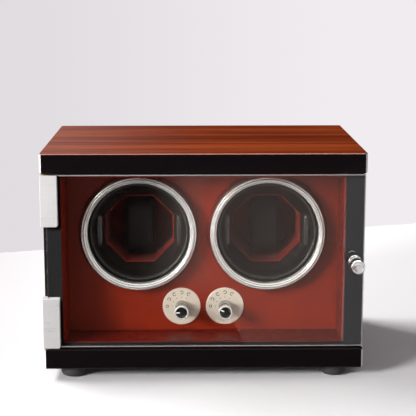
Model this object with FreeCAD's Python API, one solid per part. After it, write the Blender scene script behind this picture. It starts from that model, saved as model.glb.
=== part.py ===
"""A two-drum watch winder box, in millimetres.

A lacquered case stands on four rubber feet. Thick top and bottom boards hold two side panels, a screwed-on
rear cover and a leather-wrapped recess. In the recess are two bright bezel rings, each round a turning drum
with an octagonal pocket and a watch cushion, and two mode selectors. A glass door with two pivot clamps at
its left edge closes the front. Behind the drums a mechanism plate carries the shaft bushes and gear motors;
a round belt joins each motor pulley to its drum pulley.

Frame: +X right, +Y to the back, +Z up, origin at the centre of the underside of the whole box.
Depths are measured backwards from the front faces of the top and bottom boards.
"""
import FreeCAD
import Part
import math
import os

Vector = FreeCAD.Vector

# ---- driving dimensions -------------------------------------------------------------------------------
BOARD_W = 262.0          # width of the top and bottom boards
BOARD_D = 180.0          # depth of the boards
BOARD_T = 16.5           # thickness of each board, veneer included
BODY_H = 145.5           # clear height between the boards
FOOT_H = 8.5
KNOB_REACH = 20.0        # how far the door knob stands in front of the boards
VENEER_T = 0.8
EDGE_CHAMFER = 0.8       # lacquered long edges of the boards
CORNER_CHAMFER = 1.5     # upright corners of the boards

SIDE_T = 12.0            # side panels
SIDE_INSET = 1.0         # side panels stand this far inside the boards' ends
SIDE_FRONT = 10.8        # depth of the side panels' front edge, clear of the hinge's sweep
REAR_COVER_T = 3.0
REAR_INSET = 2.0         # the rear cover lies this far inside the boards' back edges

LINER_T = 4.5            # leather-wrapped boards of the recess
LINER_FRONT = 9.6
LINER_ROUND = 2.0
PANEL_FRONT = 42.0       # the panel that carries drums and selectors
PANEL_T = 5.0
PANEL_GAP = 0.2

DRUM_X = 53.6            # drum axes, left and right of the middle
DRUM_Z = 115.0
RING_R = 47.8
RING_BORE = 42.6
RING_FRONT = 30.0
PANEL_HOLE_R = 44.0
WELT_W = 2.8             # leather welt round each ring
WELT_H = 1.6
SLEEVE_R = 43.6
SLEEVE_BORE = 42.6
SLEEVE_FRONT = 38.0
SLEEVE_BACK = 67.0
SLEEVE_FLANGE_R = 52.0

SHELL_R = 41.4           # turning drum
SHELL_WALL = 2.0
SHELL_FRONT = 40.0
SHELL_BACK = 105.5
POCKET_MOUTH = 50.0      # depths of the octagonal pocket's bevelled mouth, throat and floor
POCKET_THROAT = 55.0
POCKET_FLOOR = 100.0
POCKET_MOUTH_AF = 68.0   # sizes across flats there
POCKET_THROAT_AF = 58.5
POCKET_FLOOR_AF = 56.0
POCKET_WALL = 1.8
LINING_T = 1.0
CLIP_X = 33.6            # retaining clips, from the drum's axis
CLIP_R = 3.2
CLIP_H = 28.0
CUSHION_W = 30.0
CUSHION_FRONT = 62.0
CUSHION_HALF_H = 26.2
CUSHION_CORNER = 15.0

SHAFT_R = 4.0
SHAFT_END = 141.0
HUB_R = 9.0
HUB_END = 113.0
RUNNING_GAP = 0.05       # radial clearance of shafts and pins in their bushes
BUSH_R = 7.0
BUSH_FLANGE_R = 10.0
PLATE_FRONT = 119.0      # mechanism plate
PLATE_T = 6.0
BELT_DEPTH = 134.0       # plane of the belts and pulleys
BELT_R = 1.4
PULLEY_PITCH_R = 29.0
PULLEY_T = 8.0
MOTOR_PULLEY_PITCH_R = 6.0
MOTOR_DROP = 56.0        # motor axis below drum axis
GEARBOX_R = 12.5
MOTOR_CAN_R = 10.0
MOTOR_BOSS_R = 3.5
MOTOR_SPINDLE_R = 1.5
NOTCH_HALF_W = 34.0      # opening at the foot of the mechanism plate, for the leads
NOTCH_TOP = 42.0

SELECTOR_X = 18.3
SELECTOR_Z = 50.5
DIAL_R = 16.0
DIAL_T = 1.0
SELECTOR_FRONT = 20.5    # front of the selector knobs
SELECTOR_R = 5.8
SELECTOR_RIBS = 4
SELECTOR_RIB_PITCH = 2.2
SPINDLE_R = 2.0
SWITCH_NECK_R = 3.0
SWITCH_BODY = 8.0        # half the switch body's side
SWITCH_DEPTH = 13.0
NUT_T = 2.0
NUT_CORNER_R = 4.3

DOOR_GAP = 1.0           # door to top board; twice the rest below
GLASS_T = 5.0
GLASS_FRONT = 2.0
GLASS_LEFT = -127.0
GLASS_RIGHT = 130.2
GLASS_CHAMFER = 0.6
BORDER_T = 0.2           # black enamel on the back of the glass
WINDOW_HALF_W = 115.2
WINDOW_BOTTOM = 3.0      # enamel widths below and above the window
WINDOW_TOP = 1.0
CLAMP_W = 13.7           # hinge clamps
CLAMP_H = 42.0
CLAMP_D = 9.0
CLAMP_PLATE = 2.0
CLAMP_CAP = 3.0
PIVOT_X = -127.5
PIVOT_DEPTH = 4.5
PIVOT_R = 1.25
PIVOT_LEN = 8.0
BUSH_OUT_R = 2.4         # brass pivot bushes
BUSH_LEN = 9.0
GRUB_R = 1.5             # set screws of the clamps and screw of the knob
KNOB_X = 122.4
KNOB_HEAD_R = 4.0
KNOB_HOLE_R = 2.0
MAGNET_R = 4.2
MAGNET_FRONT = 9.0
MAGNET_BACK = 15.0

FOOT_R = 10.5
FOOT_X = 108.0
FOOT_INSET = 13.5        # feet's centres from the boards' front and back faces
FOOT_ROUND = 4.0
FOOT_RECESS_R = 4.2
FOOT_RECESS_H = 3.5
FOOT_SCREW_R = 1.6
FOOT_SCREW_END = FOOT_H + 10.0
COVER_SCREW_R = 1.5
COVER_SCREW_IN = 10.0
VENT_ROWS = 5            # louvres behind each motor
VENT_PITCH = 6.0
VENT_LEN = 34.0
VENT_W = 2.4
JACK_Z = 38.5
JACK_BORE = 2.9
JACK_NOSE_R = 4.2
CIRCUIT_HALF_W = 36.0    # control board
CIRCUIT_FRONT = 128.0
CIRCUIT_BACK = 166.0
CIRCUIT_Z = 31.0
CIRCUIT_T = 1.6
STANDOFF_R = 3.0
LEAD_R = 1.1
LEAD_Z = 36.0
PLUG_X = (-24.0, -10.0, 10.0, 24.0)

# ---- levels that follow -------------------------------------------------------------------------------
FRONT_Y = -(BOARD_D - KNOB_REACH) / 2
Z_BODY = FOOT_H + BOARD_T
Z_TOP_BOARD = Z_BODY + BODY_H
HALF_W = BOARD_W / 2
SIDE_OUT = HALF_W - SIDE_INSET
SIDE_IN = SIDE_OUT - SIDE_T
RECESS_HALF_W = SIDE_IN - LINER_T
RECESS_FLOOR = Z_BODY + LINER_T
RECESS_CEILING = Z_TOP_BOARD - LINER_T
LINER_BACK = PANEL_FRONT + PANEL_T
COVER_FRONT = BOARD_D - REAR_INSET - REAR_COVER_T
PLATE_BACK = PLATE_FRONT + PLATE_T
MOTOR_Z = DRUM_Z - MOTOR_DROP
DOOR_TOP = Z_TOP_BOARD - DOOR_GAP
DOOR_BOTTOM = Z_BODY + DOOR_GAP + 0.5
KNOB_Z = (DOOR_TOP + DOOR_BOTTOM) / 2
CLAMP_TOP = Z_TOP_BOARD - DOOR_GAP
CLAMP_BOTTOM = Z_BODY + DOOR_GAP
FIT = 0.05               # clearance of screws in their holes
RING_SCREW_R = 1.0
RING_SCREW_PCR = 45.8
GRUB_X = -HALF_W + 9.5
MOTOR_SCREW_PCR = 8.8

OUT = "parts"
os.makedirs(OUT, exist_ok=True)


# ---- helpers ------------------------------------------------------------------------------------------
def at(x, depth, z):
    """The point x across, depth behind the boards' front faces, z up."""
    return Vector(x, FRONT_Y + depth, z)


def block(x0, x1, depth0, depth1, z0, z1):
    return Part.makeBox(x1 - x0, depth1 - depth0, z1 - z0, at(x0, depth0, z0))


def rod(radius, x, z, depth0, depth1):
    """A cylinder along Y."""
    return Part.makeCylinder(radius, depth1 - depth0, at(x, depth0, z), Vector(0, 1, 0))


def post(radius, x, depth, z0, z1):
    """A cylinder along Z."""
    return Part.makeCylinder(radius, z1 - z0, at(x, depth, z0), Vector(0, 0, 1))


def outline(steps, place):
    """A closed face. Each step is a point (u, v), joined by a line, or a pair (through, end), joined by an arc."""
    start = last = place(*steps[0])
    edges = []
    for step in steps[1:] + steps[:1]:
        if isinstance(step[0], tuple):
            through, end = place(*step[0]), place(*step[1])
            edges.append(Part.Arc(last, through, end).toShape())
        else:
            end = place(*step)
            if (end - last).Length > 1e-6:
                edges.append(Part.LineSegment(last, end).toShape())
        last = end
    return Part.Face(Part.Wire(edges))


def turned(steps, x, z):
    """A solid of revolution about the Y axis through (x, z), from steps in (radius, depth)."""
    face = outline(steps, lambda r, d: at(x + r, d, z))
    return face.revolve(at(x, 0, z), Vector(0, 1, 0), 360)


def frustum(front, back):
    """A solid between two similar closed wires of straight edges, with flat sides."""
    faces = [Part.Face(front), Part.Face(back)]
    for a, b in zip(front.OrderedEdges, back.OrderedEdges):
        p, q = a.firstVertex(True).Point, a.lastVertex(True).Point
        r, t = b.lastVertex(True).Point, b.firstVertex(True).Point
        faces.append(Part.Face(Part.makePolygon([p, q, r, t, p])))
    solid = Part.Solid(Part.Shell(faces))
    if solid.Volume < 0:
        solid.reverse()
    return solid


def octagon(across_flats, x, z, depth):
    """A closed octagonal wire with flats at the top, bottom and sides, square to Y."""
    corner = across_flats / 2 / math.cos(math.pi / 8)
    points = []
    for k in range(9):
        angle = math.pi / 8 + k * math.pi / 4
        points.append(at(x + corner * math.cos(angle), depth, z + corner * math.sin(angle)))
    return Part.makePolygon(points)


def octagon_plug(grow, x, z, depth0, depth1):
    """A tapered octagonal solid that follows the pocket's walls, grown by grow all round."""
    wires = []
    for depth in (depth0, depth1):
        share = (depth - POCKET_THROAT) / (POCKET_FLOOR - POCKET_THROAT)
        across = POCKET_THROAT_AF + share * (POCKET_FLOOR_AF - POCKET_THROAT_AF) + 2 * grow
        wires.append(octagon(across, x, z, depth))
    return frustum(*wires)


def octagon_bevel(x, z):
    """The flared mouth in front of the pocket, run on forwards past the drum's face at the same slope."""
    slope = (POCKET_MOUTH_AF - POCKET_THROAT_AF) / (POCKET_THROAT - POCKET_MOUTH)
    front = POCKET_MOUTH - 1.0
    return frustum(octagon(POCKET_MOUTH_AF + slope, x, z, front), octagon(POCKET_THROAT_AF, x, z, POCKET_THROAT))


def edges_where(shape, test):
    return [e for e in shape.Edges if test(e)]


def upright(edge):
    first, last = edge.Vertexes[0].Point, edge.Vertexes[-1].Point
    return abs(first.x - last.x) < 1e-6 and abs(first.y - last.y) < 1e-6


def level_at(edge, z):
    return all(abs(v.Point.z - z) < 1e-6 for v in edge.Vertexes)


def lead(points, radius, bend):
    """A wire's tube: straight runs between points, joined by arcs of radius bend."""
    edges = []
    start = points[0]
    for before, corner, after in zip(points, points[1:], points[2:]):
        back = (before - corner).normalize()
        forth = (after - corner).normalize()
        half = back.getAngle(forth) / 2
        run = bend / math.tan(half)
        leave, join = corner + back * run, corner + forth * run
        middle_way = (back + forth).normalize()
        middle = corner + middle_way * (bend / math.sin(half) - bend)
        edges.append(Part.LineSegment(start, leave).toShape())
        edges.append(Part.Arc(leave, middle, join).toShape())
        start = join
    edges.append(Part.LineSegment(start, points[-1]).toShape())
    path = Part.Wire(edges)
    circle = Part.Wire(Part.makeCircle(radius, points[0], points[1] - points[0]))
    return path.makePipeShell([circle], True, True)


def export(name, *solids):
    shape = solids[0] if len(solids) == 1 else Part.makeCompound(list(solids))
    for solid in shape.Solids:
        if not solid.isValid() or solid.Volume <= 0:
            print("INVALID", name)
    shape.exportStep(os.path.join(OUT, name + ".step"))


# ---- case ---------------------------------------------------------------------------------------------
def board(z0, z1, chamfered_levels):
    solid = block(-HALF_W, HALF_W, 0, BOARD_D, z0, z1)
    solid = solid.makeChamfer(CORNER_CHAMFER, edges_where(solid, upright))
    rims = edges_where(solid, lambda e: any(level_at(e, z) for z in chamfered_levels))
    return solid.makeChamfer(EDGE_CHAMFER, rims)


def foot_places():
    for x in (-FOOT_X, FOOT_X):
        for depth in (FOOT_INSET, BOARD_D - FOOT_INSET):
            yield x, depth


def case_boards():
    z_veneer = Z_TOP_BOARD + BOARD_T - VENEER_T
    top = board(Z_TOP_BOARD, z_veneer, [Z_TOP_BOARD])
    top = top.cut(post(BUSH_OUT_R, PIVOT_X, PIVOT_DEPTH, Z_TOP_BOARD - 1, Z_TOP_BOARD + BUSH_LEN))
    export("top_board", top)

    veneer = block(-HALF_W, HALF_W, 0, BOARD_D, z_veneer, z_veneer + VENEER_T)
    veneer = veneer.makeChamfer(CORNER_CHAMFER, edges_where(veneer, upright))
    veneer = veneer.makeFillet(VENEER_T - 0.1, edges_where(veneer, lambda e: level_at(e, z_veneer + VENEER_T)))
    export("top_veneer", veneer)

    bottom = board(FOOT_H, Z_BODY, [FOOT_H, Z_BODY])
    bottom = bottom.cut(post(BUSH_OUT_R, PIVOT_X, PIVOT_DEPTH, Z_BODY - BUSH_LEN, Z_BODY + 1))
    for x, depth in foot_places():
        bottom = bottom.cut(post(FOOT_SCREW_R + FIT, x, depth, 0, FOOT_SCREW_END))
    export("bottom_board", bottom)


def side_panel(sign):
    inner, outer = sorted((sign * SIDE_IN, sign * SIDE_OUT))
    solid = block(inner, outer, SIDE_FRONT, COVER_FRONT, Z_BODY, Z_TOP_BOARD)
    for x, z in cover_screw_places():
        if x * sign > 0:
            solid = solid.cut(rod(COVER_SCREW_R + FIT, x, z, COVER_FRONT - COVER_SCREW_IN, COVER_FRONT))
    if sign > 0:
        solid = solid.cut(rod(MAGNET_R + FIT, KNOB_X, KNOB_Z, 0, MAGNET_BACK))
    return solid


def cover_screw_places():
    for x in (-(SIDE_OUT - SIDE_T / 2), SIDE_OUT - SIDE_T / 2):
        for share in (0.08, 0.5, 0.92):
            yield x, Z_BODY + share * BODY_H


def cover_screw(x, z):
    shank = rod(COVER_SCREW_R, x, z, COVER_FRONT - COVER_SCREW_IN + 0.5, COVER_FRONT + REAR_COVER_T)
    head = turned([(0, COVER_FRONT + 1.0), (COVER_SCREW_R, COVER_FRONT + 1.0), (2.9, COVER_FRONT + 2.6),
                   (2.9, COVER_FRONT + REAR_COVER_T), (0, COVER_FRONT + REAR_COVER_T)], x, z)
    slots = block(x - 2, x + 2, COVER_FRONT + 2.2, COVER_FRONT + 4, z - 0.4, z + 0.4)
    slots = slots.fuse(block(x - 0.4, x + 0.4, COVER_FRONT + 2.2, COVER_FRONT + 4, z - 2, z + 2))
    return shank.fuse(head).cut(slots)


def rear_cover():
    gap = 0.4
    solid = block(-SIDE_OUT + gap, SIDE_OUT - gap, COVER_FRONT, COVER_FRONT + REAR_COVER_T,
                  Z_BODY + gap, Z_TOP_BOARD - gap)
    for x, z in cover_screw_places():
        hole = turned([(0, COVER_FRONT - 1), (COVER_SCREW_R + FIT, COVER_FRONT - 1),
                       (COVER_SCREW_R + FIT, COVER_FRONT + 1.0), (3.0, COVER_FRONT + 2.6),
                       (3.0, COVER_FRONT + 4), (0, COVER_FRONT + 4)], x, z)
        solid = solid.cut(hole)
    solid = solid.cut(rod(JACK_NOSE_R + 0.1, 0, JACK_Z, COVER_FRONT - 1, COVER_FRONT + 4))
    for side in (-1, 1):                      # louvres that let the motors' warmth out
        for row in range(VENT_ROWS):
            z = MOTOR_Z + (row - (VENT_ROWS - 1) / 2) * VENT_PITCH
            slot = block(side * DRUM_X - VENT_LEN / 2, side * DRUM_X + VENT_LEN / 2,
                         COVER_FRONT - 1, COVER_FRONT + 4, z - VENT_W / 2, z + VENT_W / 2)
            solid = solid.cut(slot)
    return solid


def foot(x, depth):
    y = FRONT_Y + depth
    soft = FOOT_ROUND * (1 - math.sqrt(0.5))
    face = outline([(FOOT_RECESS_R, 0), (FOOT_R - FOOT_ROUND, 0), ((FOOT_R - soft, soft), (FOOT_R, FOOT_ROUND)),
                    (FOOT_R, FOOT_H), (FOOT_SCREW_R + FIT, FOOT_H), (FOOT_SCREW_R + FIT, FOOT_RECESS_H),
                    (FOOT_RECESS_R, FOOT_RECESS_H)], lambda r, z: Vector(x + r, y, z))
    return face.revolve(Vector(x, y, 0), Vector(0, 0, 1), 360)


def foot_screw(x, depth):
    head = post(3.2, x, depth, FOOT_RECESS_H - 2.0, FOOT_RECESS_H)
    shank = post(FOOT_SCREW_R, x, depth, FOOT_RECESS_H - 1.0, FOOT_SCREW_END - 0.5)
    slot = block(x - 2.2, x + 2.2, depth - 0.4, depth + 0.4, 0, FOOT_RECESS_H - 1.2)
    return head.fuse(shank).cut(slot)


def case():
    case_boards()
    export("side_panel_left", side_panel(-1))
    export("side_panel_right", side_panel(1))
    export("rear_cover", rear_cover())
    screws = [cover_screw(x, z) for x, z in cover_screw_places()]
    screws += [foot_screw(x, depth) for x, depth in foot_places()]
    export("wood_screws", *screws)
    export("rubber_feet", *[foot(x, depth) for x, depth in foot_places()])


# ---- recess -------------------------------------------------------------------------------------------
def rounded_front(solid, test):
    """Rounds the front edges that test picks."""
    at_front = edges_where(solid, lambda e: all(abs(v.Point.y - (FRONT_Y + LINER_FRONT)) < 1e-6
                                                for v in e.Vertexes) and test(e))
    return solid.makeFillet(LINER_ROUND, at_front)


def liners():
    floor = block(-SIDE_IN, SIDE_IN, LINER_FRONT, LINER_BACK, Z_BODY, RECESS_FLOOR)
    export("liner_floor", rounded_front(floor, lambda e: level_at(e, RECESS_FLOOR)))
    ceiling = block(-SIDE_IN, SIDE_IN, LINER_FRONT, LINER_BACK, RECESS_CEILING, Z_TOP_BOARD)
    export("liner_ceiling", rounded_front(ceiling, lambda e: level_at(e, RECESS_CEILING)))
    for sign, name in ((-1, "liner_left"), (1, "liner_right")):
        x0, x1 = sorted((sign * RECESS_HALF_W, sign * SIDE_IN))
        wall = block(x0, x1, LINER_FRONT, LINER_BACK, RECESS_FLOOR, RECESS_CEILING)
        inner = sign * RECESS_HALF_W
        export(name, rounded_front(wall, lambda e: upright(e) and abs(e.Vertexes[0].Point.x - inner) < 1e-6))


def ring_screw_places(drum_x):
    for k in range(4):
        angle = math.pi / 4 + k * math.pi / 2
        yield drum_x + RING_SCREW_PCR * math.cos(angle), DRUM_Z + RING_SCREW_PCR * math.sin(angle)


def drum_panel():
    solid = block(-RECESS_HALF_W + PANEL_GAP, RECESS_HALF_W - PANEL_GAP, PANEL_FRONT, PANEL_FRONT + PANEL_T,
                  RECESS_FLOOR + PANEL_GAP, RECESS_CEILING - PANEL_GAP)
    for side in (-1, 1):
        solid = solid.cut(rod(PANEL_HOLE_R, side * DRUM_X, DRUM_Z, 0, 60))
        solid = solid.cut(rod(SWITCH_NECK_R + 0.1, side * SELECTOR_X, SELECTOR_Z, 0, 60))
        for x, z in ring_screw_places(side * DRUM_X):
            solid = solid.cut(rod(RING_SCREW_R + FIT, x, z, 0, 60))
    return solid


def ring_welt(drum_x):
    inner = RING_R + 0.2
    outer = inner + WELT_W
    crown = PANEL_FRONT - WELT_H
    return turned([(inner, PANEL_FRONT), (inner, PANEL_FRONT - 0.4),
                   (((inner + outer) / 2, crown), (outer, PANEL_FRONT - 0.4)),
                   (outer, PANEL_FRONT)], drum_x, DRUM_Z)


def bezel_ring(drum_x):
    """A bright ring: fine outer lip, groove, broad rounded band, groove and inner lip, with a seat for the sleeve."""
    crown = RING_R - 2.7
    seat_r = SLEEVE_R + 0.2
    solid = turned([(RING_R, PANEL_FRONT), (RING_R, RING_FRONT + 2.4),
                    ((RING_R - 0.25, RING_FRONT + 1.5), (RING_R - 0.95, RING_FRONT + 1.2)),
                    (RING_R - 1.25, RING_FRONT + 2.0), (RING_R - 1.45, RING_FRONT + 1.2),
                    ((crown, RING_FRONT), (crown - 1.25, RING_FRONT + 1.2)),
                    (crown - 1.45, RING_FRONT + 2.0),
                    ((RING_BORE + 0.45, RING_FRONT + 2.1), (RING_BORE, RING_FRONT + 3.0)),
                    (RING_BORE, SLEEVE_FRONT - 0.2), (seat_r, SLEEVE_FRONT - 0.2), (seat_r, PANEL_FRONT)],
                   drum_x, DRUM_Z)
    for x, z in ring_screw_places(drum_x):
        solid = solid.cut(rod(RING_SCREW_R + FIT, x, z, PANEL_FRONT - 5.0, PANEL_FRONT + 1))
    return solid


def drum_sleeve(drum_x):
    back = PANEL_FRONT + PANEL_T
    solid = turned([(SLEEVE_BORE, SLEEVE_FRONT), (SLEEVE_R, SLEEVE_FRONT), (SLEEVE_R, back),
                    (SLEEVE_FLANGE_R, back), (SLEEVE_FLANGE_R, back + 2.0), (SLEEVE_R, back + 2.0),
                    (SLEEVE_R, SLEEVE_BACK), (SLEEVE_BORE, SLEEVE_BACK)], drum_x, DRUM_Z)
    for x, z in ring_screw_places(drum_x):
        solid = solid.cut(rod(RING_SCREW_R + FIT, x, z, back - 1, back + 3))
    return solid


def machine_screw(x, z, depth_tip, depth_seat, depth_head):
    return rod(RING_SCREW_R, x, z, depth_tip, depth_head).fuse(rod(1.9, x, z, depth_seat, depth_head))


def recess():
    liners()
    export("drum_panel", drum_panel())
    export("ring_welts", ring_welt(-DRUM_X), ring_welt(DRUM_X))
    export("bezel_ring_left", bezel_ring(-DRUM_X))
    export("bezel_ring_right", bezel_ring(DRUM_X))
    export("drum_sleeves", drum_sleeve(-DRUM_X), drum_sleeve(DRUM_X))
    seat = PANEL_FRONT + PANEL_T + 2.0
    screws = []
    for sign in (-1, 1):
        for x, z in ring_screw_places(sign * DRUM_X):
            screws.append(machine_screw(x, z, PANEL_FRONT - 4.6, seat, seat + 1.5))
        for x, z in motor_screw_places(sign * DRUM_X):
            screws.append(machine_screw(x, z, PLATE_FRONT - 3.6, PLATE_BACK, PLATE_BACK + 1.5))
    export("machine_screws", *screws)


# ---- selectors ----------------------------------------------------------------------------------------


def selector_switch(x):
    back = PANEL_FRONT + PANEL_T
    body = block(x - SWITCH_BODY, x + SWITCH_BODY, back, back + SWITCH_DEPTH,
                 SELECTOR_Z - SWITCH_BODY, SELECTOR_Z + SWITCH_BODY)
    neck = rod(SWITCH_NECK_R, x, SELECTOR_Z, PANEL_FRONT - DIAL_T - NUT_T, back)
    bore = rod(SPINDLE_R + RUNNING_GAP, x, SELECTOR_Z, 0, back + 8.0)
    return body.fuse(neck).cut(bore)


def hex_nut(x):
    """A thin nut that holds the dial plate and the panel against the switch body."""
    points = []
    for k in range(7):
        angle = k * math.pi / 3
        points.append(at(x + NUT_CORNER_R * math.cos(angle), PANEL_FRONT - DIAL_T - NUT_T,
                         SELECTOR_Z + NUT_CORNER_R * math.sin(angle)))
    prism = Part.Face(Part.makePolygon(points)).extrude(Vector(0, NUT_T, 0))
    return prism.cut(rod(SWITCH_NECK_R + FIT, x, SELECTOR_Z, 0, 60))


def dial_plate(x):
    front = PANEL_FRONT - DIAL_T
    return turned([(SWITCH_NECK_R + FIT, PANEL_FRONT), (DIAL_R, PANEL_FRONT), (DIAL_R, front + 0.35),
                   ((DIAL_R - 0.12, front + 0.1), (DIAL_R - 0.4, front)),
                   (SWITCH_NECK_R + FIT, front)], x, SELECTOR_Z)


def selector_knob(x):
    """Ribbed skirt, waist and flared head, with a shallow seat in its face for the dark cap, on its spindle."""
    base = PANEL_FRONT - DIAL_T - 0.4
    front = SELECTOR_FRONT
    waist, skirt = SELECTOR_R - 1.1, SELECTOR_R - 0.5
    spindle_end = PANEL_FRONT + PANEL_T + 7.0
    steps = [(0, spindle_end), (0, front + 0.9), (4.8, front + 0.9), (4.8, front), (SELECTOR_R - 0.55, front),
             ((SELECTOR_R - 0.15, front + 0.2), (SELECTOR_R, front + 0.8)), (SELECTOR_R, front + 4.2),
             ((SELECTOR_R - 0.55, front + 5.2), (waist, front + 6.8))]
    for rib in range(SELECTOR_RIBS, 0, -1):
        rib_back = base - (rib - 1) * SELECTOR_RIB_PITCH
        rib_front = rib_back - SELECTOR_RIB_PITCH + 0.7
        steps += [(waist, rib_front - 0.25), (skirt, rib_front), (skirt, rib_back - 0.25), (waist, rib_back)]
    steps += [(4.4, base), (4.4, base - 2.4), (SPINDLE_R, base - 2.4), (SPINDLE_R, spindle_end)]
    return turned(steps, x, SELECTOR_Z)


def selectors():
    export("selector_switches", *[part(sign * SELECTOR_X) for sign in (-1, 1) for part in (selector_switch, hex_nut)])
    export("dial_plates", dial_plate(-SELECTOR_X), dial_plate(SELECTOR_X))
    export("selector_knob_left", selector_knob(-SELECTOR_X))
    export("selector_knob_right", selector_knob(SELECTOR_X))


# ---- turning drums ------------------------------------------------------------------------------------
def drum_shell(x):
    inner = SHELL_R - SHELL_WALL
    floor = SHELL_BACK - 2.5
    return turned([(0, SHELL_BACK), (0, floor), (inner, floor), (inner, SHELL_FRONT + 0.6),
                   ((SHELL_R - 1.0, SHELL_FRONT), (SHELL_R, SHELL_FRONT + 0.6)),
                   (SHELL_R, SHELL_BACK), (HUB_R, SHELL_BACK), (HUB_R, HUB_END), (SHAFT_R, HUB_END),
                   (SHAFT_R, SHELL_BACK)], x, DRUM_Z)


def drum_clip(x, side):
    """A glossy bar over the pocket's side edge, on a spring leg that reaches back beside the pocket."""
    bar_x = x + side * CLIP_X
    bar = Part.makeCylinder(CLIP_R, CLIP_H - 2 * CLIP_R, at(bar_x, POCKET_MOUTH - 2.4, DRUM_Z - CLIP_H / 2 + CLIP_R),
                            Vector(0, 0, 1))
    for end in (-1, 1):
        bar = bar.fuse(Part.makeSphere(CLIP_R, at(bar_x, POCKET_MOUTH - 2.4, DRUM_Z + end * (CLIP_H / 2 - CLIP_R))))
    leg_in, leg_out = sorted((x + side * (CLIP_X + 1.6), x + side * (CLIP_X + 3.1)))
    leg = block(leg_in, leg_out, POCKET_MOUTH - 2.4, POCKET_MOUTH + 24.0, DRUM_Z - 9.0, DRUM_Z + 9.0)
    return bar.fuse(leg).removeSplitter()


def drum_insert(x, clips):
    """The dished front and the octagonal pocket."""
    outer = SHELL_R - SHELL_WALL - 0.1
    mouth = POCKET_MOUTH_AF / 2
    back = POCKET_THROAT + 2.0
    dish = turned([(0, back), (0, POCKET_MOUTH), (mouth - 0.4, POCKET_MOUTH),
                   ((mouth + 0.35, POCKET_MOUTH - 0.9), (mouth + 1.1, POCKET_MOUTH - 0.4)),
                   ((mouth + 2.9, POCKET_MOUTH - 4.6), (outer - 1.2, SHELL_FRONT + 1.6)),
                   (outer, SHELL_FRONT + 1.4), (outer, SHELL_FRONT + 4.4),
                   (mouth + 3.0, POCKET_MOUTH + 3.0), (mouth - 1.0, back)], x, DRUM_Z)
    walls = octagon_plug(POCKET_WALL, x, DRUM_Z, POCKET_THROAT - 0.5, POCKET_FLOOR + POCKET_WALL)
    pocket = octagon_plug(0, x, DRUM_Z, POCKET_THROAT - 0.2, POCKET_FLOOR)
    solid = dish.fuse(walls).cut(pocket).cut(octagon_bevel(x, DRUM_Z))
    for clip in clips:
        solid = solid.cut(clip)
    return solid.removeSplitter()


def pocket_lining(x):
    """An octagonal cup of lining board: floor and walls, up to the bevelled mouth."""
    cup = octagon_plug(-0.1, x, DRUM_Z, POCKET_THROAT + 0.6, POCKET_FLOOR)
    return cup.cut(octagon_plug(-0.1 - LINING_T, x, DRUM_Z, POCKET_THROAT, POCKET_FLOOR - LINING_T))


def cushion(x):
    """The pillow a watch is strapped round: an upright rounded oval, pressed between pocket floor and flats."""
    back = POCKET_FLOOR - LINING_T
    solid = block(x - CUSHION_W / 2, x + CUSHION_W / 2, CUSHION_FRONT, back,
                  DRUM_Z - CUSHION_HALF_H, DRUM_Z + CUSHION_HALF_H)
    along = edges_where(solid, lambda e: abs(e.Vertexes[0].Point.x - e.Vertexes[-1].Point.x) > 1)
    solid = solid.makeFillet(CUSHION_CORNER, along)
    rims = edges_where(solid, lambda e: abs(abs(e.BoundBox.Center.x - x) - CUSHION_W / 2) < 1e-3
                       and e.BoundBox.XLength < 1e-3)
    return solid.makeFillet(7.0, rims)


def groove_pulley(x, z, pitch_r, bore_r, rim, hub_r, hub_front, hub_back):
    """A pulley with a round-bottomed belt groove."""
    front, back = BELT_DEPTH - PULLEY_T / 2, BELT_DEPTH + PULLEY_T / 2
    half = BELT_R + 0.15
    outer = pitch_r + rim
    profile = [(bore_r, hub_front), (hub_r, hub_front)]
    if hub_r < outer - 4:
        profile += [(hub_r, front + 2.5), (outer - 4.5, front + 2.5), (outer - 4.5, front)]
    else:
        profile += [(hub_r, front)]
    profile += [(outer, front), (outer, BELT_DEPTH - half), (pitch_r, BELT_DEPTH - half),
                ((pitch_r - half, BELT_DEPTH), (pitch_r, BELT_DEPTH + half)),
                (outer, BELT_DEPTH + half), (outer, back)]
    if hub_r < outer - 4:
        profile += [(outer - 4.5, back), (outer - 4.5, back - 2.5), (hub_r, back - 2.5)]
    profile += [(hub_r, hub_back), (bore_r, hub_back)]
    return turned(profile, x, z)


def drums():
    for sign, side in ((-1, "left"), (1, "right")):
        x = sign * DRUM_X
        clips = [drum_clip(x, -1), drum_clip(x, 1)]
        export("drum_shell_" + side, drum_shell(x))
        export("drum_insert_" + side, drum_insert(x, clips))
        export("drum_clips_" + side, *clips)
        export("pocket_lining_" + side, pocket_lining(x))
        export("cushion_" + side, cushion(x))
        export("drum_shaft_" + side, rod(SHAFT_R, x, DRUM_Z, SHELL_BACK, SHAFT_END))
        export("drum_pulley_" + side, groove_pulley(x, DRUM_Z, PULLEY_PITCH_R, SHAFT_R, 1.3, 8.0,
                                                    PLATE_BACK + 3.4, SHAFT_END - 1.0))


# ---- mechanism ----------------------------------------------------------------------------------------


def motor_screw_places(x):
    return [(x - MOTOR_SCREW_PCR, MOTOR_Z), (x + MOTOR_SCREW_PCR, MOTOR_Z)]


def mechanism_plate():
    solid = block(-SIDE_IN, SIDE_IN, PLATE_FRONT, PLATE_BACK, Z_BODY, Z_TOP_BOARD)
    for sign in (-1, 1):
        x = sign * DRUM_X
        solid = solid.cut(rod(BUSH_R, x, DRUM_Z, PLATE_FRONT - 1, PLATE_BACK + 1))
        solid = solid.cut(rod(MOTOR_BOSS_R + 0.1, x, MOTOR_Z, PLATE_FRONT - 1, PLATE_BACK + 1))
        for sx, sz in motor_screw_places(x):
            solid = solid.cut(rod(RING_SCREW_R + FIT, sx, sz, PLATE_FRONT - 1, PLATE_BACK + 1))
    return solid.cut(block(-NOTCH_HALF_W, NOTCH_HALF_W, PLATE_FRONT - 1, PLATE_BACK + 1, Z_BODY - 1, NOTCH_TOP))


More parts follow.
